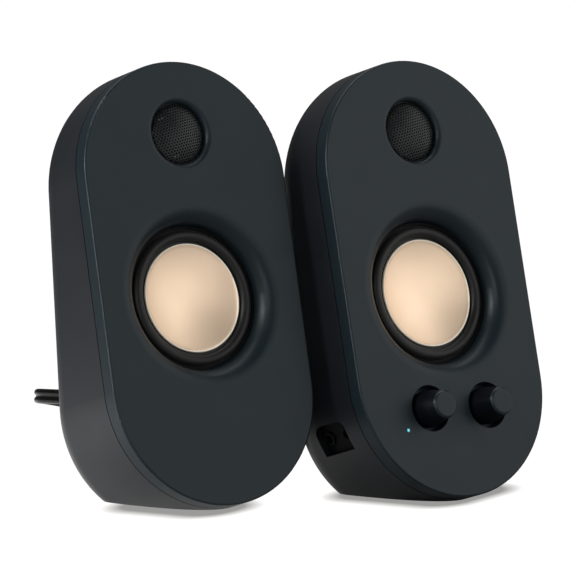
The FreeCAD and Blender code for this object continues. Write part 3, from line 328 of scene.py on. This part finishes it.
def lathe(name, profile, matrix, material, cx=0.0, cy=0.0, segs=160, closed=True, angle=38.0):
    """Turns a closed profile of (radius, z) in millimetres about an axis parallel to the face normal."""
    verts, rings = [], []
    for r, z in profile:
        if r < 1e-6:
            rings.append([len(verts)])
            verts.append(matrix @ Vector((cx, cy, z)))
        else:
            rings.append(list(range(len(verts), len(verts) + segs)))
            for i in range(segs):
                a = 2 * math.pi * i / segs
                verts.append(matrix @ Vector((cx + r * math.cos(a), cy + r * math.sin(a), z)))
    faces = []
    pairs = list(zip(rings, rings[1:]))
    if closed:
        pairs.append((rings[-1], rings[0]))
    for a, b in pairs:
        if len(a) == 1 and len(b) == 1:
            continue
        for i in range(segs):
            j = (i + 1) % segs
            if len(a) == 1:
                faces.append((a[0], b[i], b[j]))
            elif len(b) == 1:
                faces.append((a[i], a[j], b[0]))
            else:
                faces.append((a[i], a[j], b[j], b[i]))
    return new_object(name, verts, faces, material, angle)


def arc(cx, cy, r, a0, a1, n):
    return [(cx + r * math.cos(math.radians(a0 + (a1 - a0) * i / n)), cy + r * math.sin(math.radians(a0 + (a1 - a0) * i / n))) for i in range(n + 1)]


# ------------------------------------------------------------------ link lead
RELIEF_IN = (-8.0, 61.176, 42.593)
ROUTE = [(-8.0, 81.5, 40.0), (-8.8, 103.0, 38.2), (-9.6, 125.0, 36.2), (-8.6, 144.5, 34.4), (8.0, 156.6, 31.6), (36.0, 157.6, 25.6), (57.6, 152.7, 16.6)]
COIL_X, COIL_Y, COIL_LIFT, STEP = 53.0, 119.0, 0.6, 6.4
OUTER, INNER = 34.0, 30.0


def coil_points():
    """Control points of the six turns: three down the outer column, three up the inner one, then over the top to the plug."""
    start = math.degrees(math.atan2(ROUTE[-1][1] - COIL_Y, ROUTE[-1][0] - COIL_X))
    zl = [COIL_LIFT + STEP * (0.5 + k) for k in range(3)]
    turns = [(OUTER, zl[2]), (OUTER, zl[1]), (OUTER, zl[0]), (INNER, zl[0]), (INNER, zl[1]), (INNER, zl[2])]
    loose = (0.25, -0.2, 0.15, -0.25, 0.1, 0.2, -0.15, 0.3, -0.3, 0.2, -0.1, 0.05)
    out = []
    for k, (r, z) in enumerate(turns):
        nr, nz = turns[k + 1] if k + 1 < len(turns) else (INNER, zl[2] + STEP)
        for i in range(1, 13):
            t = 0.0 if i < 11 else (0.5 if i == 11 else 1.0)
            rr, zz = r + (nr - r) * t + loose[(i + 5 * k) % 12] * 0.6, z + (nz - z) * t
            a = math.radians(start - 30 * i)
            out.append((COIL_X + rr * 1.035 * math.cos(a), COIL_Y + rr * 1.035 * math.sin(a), zz))
    for da, r, z in ((30, 30.0, 23.2), (60, 30.2, 23.2), (90, 31.0, 23.6), (118, 32.4, 24.3)):
        a = math.radians(start - da)
        out.append((COIL_X + r * 1.035 * math.cos(a), COIL_Y + r * 1.035 * math.sin(a), z))
    out += [(COIL_X + 18.5, COIL_Y - 28.0, 24.8), (COIL_X + 10.0, COIL_Y - 30.0, 24.8), (COIL_X + 6.0, COIL_Y - 30.0, 24.8)]
    return out


def spline_path(points):
    cu = bpy.data.curves.new("lead_line", "CURVE")
    cu.dimensions = "3D"
    sp = cu.splines.new("NURBS")
    sp.points.add(len(points) - 1)
    for p, q in zip(sp.points, points):
        p.co = (*floor_point(*q), 1.0)
    sp.order_u = 3
    sp.use_endpoint_u = True
    sp.resolution_u = 10
    ob = bpy.data.objects.new("lead_line", cu)
    scene.collection.objects.link(ob)
    bpy.context.view_layer.update()
    me = bpy.data.meshes.new_from_object(ob.evaluated_get(bpy.context.evaluated_depsgraph_get()))
    path = [v.co.copy() for v in me.vertices]
    bpy.data.objects.remove(ob)
    bpy.data.curves.remove(cu)
    bpy.data.meshes.remove(me)
    return path


def sweep(name, path, outline, material, cap=True):
    """Sweeps a closed outline of (across, up) along a path; up stays as near to vertical as the path allows."""
    n, k = len(path), len(outline)
    verts, faces = [], []
    for i, p in enumerate(path):
        t = (path[min(i + 1, n - 1)] - path[max(i - 1, 0)]).normalized()
        side = t.cross(Vector((0, 0, 1))).normalized()
        up = side.cross(t).normalized()
        verts += [p + side * a + up * b for a, b in outline]
    for i in range(n - 1):
        for j in range(k):
            m = (j + 1) % k
            faces.append((i * k + j, i * k + m, (i + 1) * k + m, (i + 1) * k + j))
    if cap:
        faces.append(tuple(range(k))[::-1])
        faces.append(tuple((n - 1) * k + j for j in range(k)))
    return new_object(name, verts, faces, material, 60.0)


def twin_outline():
    """Two round cores one above the other, joined by a narrow web."""
    r, pts = 0.00158, []
    for cz, a0, a1 in ((0.0016, -62, 242), (-0.0016, 118, 422)):
        for i in range(15):
            a = math.radians(a0 + (a1 - a0) * i / 14)
            pts.append((r * math.cos(a), cz + r * math.sin(a)))
    return pts


lead_path = spline_path([RELIEF_IN] + ROUTE + coil_points())
lead = sweep("twin_lead", lead_path, twin_outline(), M["lead_rubber"])
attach(lead, "cabinets")
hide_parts("link_lead", "link_lead_coil")


def rounded_rect(w, h, r, n=5):
    pts = []
    for cx, cy, a in ((w / 2 - r, h / 2 - r, 0), (-w / 2 + r, h / 2 - r, 90), (-w / 2 + r, -h / 2 + r, 180), (w / 2 - r, -h / 2 + r, 270)):
        pts += arc(cx, cy, r, a, a + 90, n)
    return pts


def make_tie():
    """Hook-and-loop strap round the bundle: a closed band with rounded corners."""
    mid = Vector((COIL_X - 32.0, COIL_Y, COIL_LIFT + 1.5 * STEP))
    inner = rounded_rect(8.15, 19.3, 1.6, 6)
    outer = rounded_rect(10.0, 20.6, 2.4, 6)
    verts, faces = [], []
    widths = (-3.3, -3.1, 3.1, 3.3)
    rings = []
    for w, grow in zip(widths, (0.25, 0.0, 0.0, 0.25)):
        for loop, s in ((inner, 1.0), (outer, -1.0)):
            ring = []
            for x, z in loop:
                l = math.hypot(x, z)
                x2, z2 = x + x / l * grow * s * 0.5, z + z / l * grow * s * 0.5
                z3 = max(mid.z + z2, 0.02)
                ring.append(len(verts))
                verts.append(floor_point(mid.x + x2, mid.y + w, z3))
            rings.append(ring)
    k = len(inner)
    order = [(rings[2 * i], rings[2 * i + 1]) for i in range(4)]
    for (ia, oa), (ib, ob) in zip(order, order[1:]):
        for j in range(k):
            m = (j + 1) % k
            faces.append((ia[j], ia[m], ib[m], ib[j]))
            faces.append((oa[j], ob[j], ob[m], oa[m]))
    for i, o in (order[0], order[-1]):
        for j in range(k):
            m = (j + 1) % k
            faces.append((i[j], o[j], o[m], i[m]))
    return new_object("strap_tie", verts, faces, M["tie_plastic"], 50.0)


tie = make_tie()
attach(tie, "cabinets")
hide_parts("coil_tie")

# ------------------------------------------------------------------ woofers
WY = -5.25


def cone_profile():
    """Shallow dish that steepens towards a small rolled bead, and the neck behind it."""
    front = [(22.35 * i / 30, -12.35 + 4.65 * (i / 30) ** 2.05) for i in range(31)]
    bead = [(22.62, -7.5)]
    back = [(22.9, -7.6), (23.2, -8.3), (22.4, -8.9), (12.45, -14.35), (10.85, -15.75), (10.3, -15.75), (10.3, -13.6), (0, -13.1)]
    return front + bead + back


def edge_profile():
    """Bead round the dish; its lighter cream, half-metallic material is a painted highlight along the rim."""
    return [(22.6, -7.66)] + arc(23.02, -7.72, 0.40, 165, 0, 12) + [(23.42, -8.2), (23.0, -8.35), (22.5, -8.1)]


def surround_profile():
    """Half-roll with a flat land each side."""
    mid, r = 26.9, 2.6
    top = [(30.8, -8.42), (29.62, -8.40)] + arc(mid, -8.62, r, 5, 175, 22) + [(24.2, -8.40), (23.44, -8.40)]
    under = [(23.44, -8.9), (24.75, -8.9)] + arc(mid, -8.8, r - 0.5, 172, 8, 16) + [(29.1, -8.9), (30.8, -8.98)]
    return top + under


def spider_profile():
    """Corrugated cloth disc."""
    z0, up, n = -19.38, [], 60
    for i in range(n + 1):
        r = 10.3 + (23.7 - 10.3) * i / n
        w = 0.45 - 0.45 * math.cos(2 * math.pi * (r - 11.45) / 1.95) if 11.45 < r < 21.2 else 0.0
        up.append((r, z0 + w))
    return [(r, z + 0.28) for r, z in up] + up[::-1]


def radial_blend(ob):
    """Bakes the piece's placement into its mesh."""
    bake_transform(ob)


for side in SIDES:
    F = FACE[side]
    cone = lathe(side + "_dished_cone", cone_profile(), F, M["cone_metal"], 0, WY, 192, angle=50)
    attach(cone, side + "_woofer")
    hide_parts(side + "_woofer_cone")
    # the bead's bright cream material is a painted highlight on the rim
    edge = lathe(side + "_rim_bead_painted_highlight", edge_profile(), F, M["rim_bead_painted_highlight"], 0, WY, 192, angle=60)
    edge.parent = cone
    edge.matrix_parent_inverse = cone.matrix_world.inverted()
    roll = lathe(side + "_roll_surround", surround_profile(), F, M["surround_rubber"], 0, WY, 192, angle=60)
    radial_blend(roll)
    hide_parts(side + "_woofer_surround")
    sp = lathe(side + "_corrugated_spider", spider_profile(), F, M["spider_cloth"], 0, WY, 128, angle=60)
    radial_blend(sp)
    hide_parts(side + "_spider")

# ------------------------------------------------------------------ tweeter meshes
TY, MESH_R, MESH_TOP, MESH_RIM = 64.4, 13.0, 1.2, -2.6


def dome_z(r, lift=0.0):
    rise = MESH_TOP - MESH_RIM
    big = (MESH_R ** 2 + rise ** 2) / (2 * rise)
    return MESH_TOP - big + math.sqrt(big * big - r * r) + lift


def perforated(side):
    """Domed sheet with round holes in staggered rows; the plain pressed rim is lathed separately."""
    pitch, hole, thick = 1.32, 0.43, 0.35
    hexr = pitch / math.sqrt(3)
    verts, faces, index = [], [], {}

    def vert(x, y, z):
        key = (round(x, 3), round(y, 3), round(z, 3))
        if key not in index:
            index[key] = len(verts)
            verts.append((x, y, z))
        return index[key]

    rows = int(MESH_R / (pitch * math.sqrt(3) / 2)) + 2
    tilt = math.radians(12)
    for j in range(-rows, rows + 1):
        for i in range(-rows - 8, rows + 9):
            cx, cy = (i + 0.5 * (j % 2)) * pitch, j * pitch * math.sqrt(3) / 2
            if math.hypot(cx, cy) > MESH_R - 0.62:
                continue
            rim_pts, hole_pts = [], []
            for k in range(12):
                a = math.radians(30 * k + 30)
                rr = hexr if k % 2 == 0 else hexr * math.cos(math.radians(30))
                rim_pts.append((cx + rr * math.cos(a), cy + rr * math.sin(a)))
                hole_pts.append((cx + hole * math.cos(a), cy + hole * math.sin(a)))
            for lift, flip in ((0.0, False), (-thick, True)):
                a = [vert(x, y, dome_z(min(math.hypot(x, y), MESH_R), lift)) for x, y in rim_pts]
                b = [vert(x, y, dome_z(min(math.hypot(x, y), MESH_R), lift)) for x, y in hole_pts]
                for k in range(12):
                    m = (k + 1) % 12
                    f = (a[k], a[m], b[m], b[k])
                    faces.append(f[::-1] if flip else f)
            t = [vert(x, y, dome_z(min(math.hypot(x, y), MESH_R), 0.0)) for x, y in hole_pts]
            u = [vert(x, y, dome_z(min(math.hypot(x, y), MESH_R), -thick)) for x, y in hole_pts]
            for k in range(12):
                m = (k + 1) % 12
                faces.append((t[k], t[m], u[m], u[k]))
    c, s = math.cos(tilt), math.sin(tilt)
    F = FACE[side]
    world = [F @ Vector((c * x - s * y, TY + s * x + c * y, z)) for x, y, z in verts]
    ob = new_object(side + "_mesh_dome", world, faces, M["mesh_metal"], 42.0)
    return ob


def rim_profile():
    return [(12.72, dome_z(12.72, 0.03)), (12.9, dome_z(12.9, 0.03)), (13.0, -2.72), (13.0, -2.95), (13.0, -3.15), (15.6, -3.15), (15.6, -3.2), (12.6, -3.2), (12.6, -2.95), (12.72, dome_z(12.72, -0.36))]


for side in SIDES:
    dome = perforated(side)
    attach(dome, "cabinets")
    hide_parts(side + "_tweeter_mesh")
    rim = lathe(side + "_mesh_rim", rim_profile(), FACE[side], M["mesh_metal"], 0, TY, 128)
    rim.parent = dome
    rim.matrix_parent_inverse = dome.matrix_world.inverted()

# ------------------------------------------------------------------ knobs
KY = -56.4


def knob_profile():
    """Tapered push-on knob with a polished chamfer round its flat end."""
    side = [(8.0, -3.0), (8.0, -1.2), (7.93, -0.3)]
    taper = [(7.93 + (6.12 - 7.93) * i / 8, -0.3 + 10.3 * i / 8) for i in range(1, 9)]
    edge = [(6.06, 10.2), (5.92, 10.4), (5.42, 10.9), (5.3, 10.98), (5.15, 11.0)]
    return [(3.0, -3.0)] + side + taper + edge + [(2.6, 10.97), (0, 10.96), (0, 7.0), (3.0, 7.0)]


for tag, kx in (("volume", -13.4), ("tone", 17.7)):
    knob = lathe(tag + "_turned_knob", knob_profile(), FACE["right"], M["knob_plastic"], kx, KY, 128, angle=60)
    # the sides get a darker, rougher, less glossy copy of the knob plastic, painted shade; the end disc and its chamfer
    # keep the smoother knob plastic
    knob.data.materials.append(M["knob_side_painted_shade"])
    back = FACE["right"].inverted()
    for p in knob.data.polygons:
        c = back @ p.center
        if c.z < 9.9 and math.hypot(c.x - kx, c.y - KY) > 3.2:
            p.material_index = 1
    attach(knob, tag)
    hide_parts(tag + "_knob")


# ------------------------------------------------------------------ floor and light
SLANT = math.radians(33.0)
SQUASH = 2.2
# painted shadow areas on the floor, one under each cabinet, laid out by position and not cast by the lamps: middle and
# half size in the slanted axes, in metres
SHADOWS = (((-0.0540, 0.0620), (0.0250, 0.0506)), ((0.0510, -0.0845), (0.0392, 0.0605)))
SHADOW_R = 0.022


def floor_paper():
    """White paper sweep. The camera sees it as plain white with a painted shadow, a soft grey edge along the cabinets
    laid out by position; the cabinets see lit paper.
    """
    s = Shade("floor_paper")
    s.set(Roughness=0.9, Specular_IOR_Level=0.0)
    lp = s.new("ShaderNodeLightPath")
    camera = lp.outputs["Is Camera Ray"]

    def vmath(op, a, value=None):
        n = s.new("ShaderNodeVectorMath", operation=op)
        s.link(a, n.inputs[0])
        if value is not None:
            n.inputs[1].default_value = value
        return n

    def fmath(op, a, b):
        n = s.new("ShaderNodeMath", operation=op)
        for k, v in ((0, a), (1, b)):
            if isinstance(v, (int, float)):
                n.inputs[k].default_value = v
            else:
                s.link(v, n.inputs[k])
        return n.outputs[0]

    place = s.coord.outputs["Object"]
    along = vmath("DOT_PRODUCT", place, (math.cos(SLANT), math.sin(SLANT), 0)).outputs["Value"]
    across = vmath("DOT_PRODUCT", place, (-SQUASH * math.sin(SLANT), SQUASH * math.cos(SLANT), 0)).outputs["Value"]
    slanted = s.new("ShaderNodeCombineXYZ")
    s.link(along, slanted.inputs[0])
    s.link(across, slanted.inputs[1])
    far = []
    for (cx, cy), (hx, hy) in SHADOWS:
        n = vmath("SUBTRACT", slanted.outputs[0], (cx, cy, 0))
        n = vmath("ABSOLUTE", n.outputs[0])
        n = vmath("SUBTRACT", n.outputs[0], (hx - SHADOW_R, hy - SHADOW_R, 1))
        n = vmath("MAXIMUM", n.outputs[0], (0, 0, 0))
        far.append(vmath("LENGTH", n.outputs[0]).outputs["Value"])
    near = fmath("MINIMUM", far[0], far[1])
    # painted shadow: the camera sees emission rising from grey next to the cabinets to white further out
    ramp = s.new("ShaderNodeMapRange", interpolation_type="LINEAR")
    for k, v in (("From Min", SHADOW_R), ("From Max", SHADOW_R + 0.016), ("To Min", 0.328), ("To Max", 1.06)):
        ramp.inputs[k].default_value = v
    s.link(near, ramp.inputs["Value"])
    seen = fmath("MULTIPLY", ramp.outputs["Result"], camera)
    # painted warm pool of light on the paper behind and left of the pair, and a painted lighter front edge: emission
    # that the cabinets see and the camera does not
    xyz = s.new("ShaderNodeSeparateXYZ")
    s.link(place, xyz.inputs[0])
    front = s.span(xyz.outputs["Y"], 0.0, 0.5, -0.35, -0.8)
    n = vmath("SUBTRACT", place, (-0.15, 0.14, 0))
    n = vmath("ABSOLUTE", n.outputs[0])
    n = vmath("SUBTRACT", n.outputs[0], (0.10, 0.09, 1))
    n = vmath("MAXIMUM", n.outputs[0], (0, 0, 0))
    pool = s.span(vmath("LENGTH", n.outputs[0]).outputs["Value"], 0.95, 0.0, 0.0, 0.12)
    lit = fmath("MULTIPLY", fmath("ADD", front, pool), fmath("SUBTRACT", 1.0, camera))
    s.tint(camera, (0.32, 0.32, 0.32), (0.0, 0.0, 0.0))
    s.b.inputs["Emission Color"].default_value = (1.0, 0.99, 0.98, 1)
    s.link(fmath("ADD", lit, seen), s.b.inputs["Emission Strength"])
    return s.m


def stage_floor():
    me = bpy.data.meshes.new("Floor")
    e = 14.0
    me.from_pydata([(-e, -e, 0), (e, -e, 0), (e, e, 0), (-e, e, 0)], [], [(0, 1, 2, 3)])
    me.materials.append(floor_paper())
    ob = bpy.data.objects.new("Floor", me)
    scene.collection.objects.link(ob)
    return ob


stage_floor()


def area(name, at, look, size, radiance, colour=(1, 1, 1)):
    """A rectangular softbox of the given radiance."""
    li = bpy.data.lights.new(name, "AREA")
    li.shape = "RECTANGLE"
    li.size, li.size_y = size
    li.energy = radiance * math.pi * size[0] * size[1]
    li.color = colour
    ob = bpy.data.objects.new(name, li)
    scene.collection.objects.link(ob)
    ob.location = at
    ob.rotation_mode = "QUATERNION"
    ob.rotation_quaternion = (Vector(look) - Vector(at)).to_track_quat("-Z", "Y")
    ob.visible_camera = False
    return ob


def around(az, el, dist):
    """A point round the pair: azimuth 0 in front, 90 on the right; elevation above the middle of the cabinets."""
    a, e = math.radians(az), math.radians(el)
    return Vector((math.sin(a) * math.cos(e), -math.cos(a) * math.cos(e), math.sin(e))) * dist + Vector((0, 0, 0.09))


CENTRE = (0, 0, 0.09)
area("front_box", around(20, 13, 2.2), CENTRE, (1.75, 1.6), 1.05)
area("right_box", around(64, 22, 1.6), CENTRE, (1.3, 1.6), 1.25)
area("side_box", around(-82, 29, 1.6), CENTRE, (0.5, 0.5), 15.0)
area("top_box", around(172, 68, 1.8), CENTRE, (2.2, 1.6), 2.2)
area("edge_strip", around(-44, 16, 1.9), CENTRE, (0.16, 1.3), 9.0)
area("rim_strip", around(-99, 10, 1.7), CENTRE, (0.14, 0.9), 45.0)

world = bpy.data.worlds.new("World")
scene.world = world
world.use_nodes = True
nt = world.node_tree
bg = nt.nodes["Background"]
bg.inputs["Color"].default_value = (1, 1, 1, 1)
bg.inputs["Strength"].default_value = 0.10
white = nt.nodes.new("ShaderNodeBackground")
white.inputs["Color"].default_value = (1, 1, 1, 1)
white.inputs["Strength"].default_value = 1.05
mix = nt.nodes.new("ShaderNodeMixShader")
path = nt.nodes.new("ShaderNodeLightPath")
nt.links.new(path.outputs["Is Camera Ray"], mix.inputs[0])
nt.links.new(bg.outputs[0], mix.inputs[1])
nt.links.new(white.outputs[0], mix.inputs[2])
nt.links.new(mix.outputs[0], nt.nodes["World Output"].inputs["Surface"])
scene.view_settings.view_transform = "Standard"
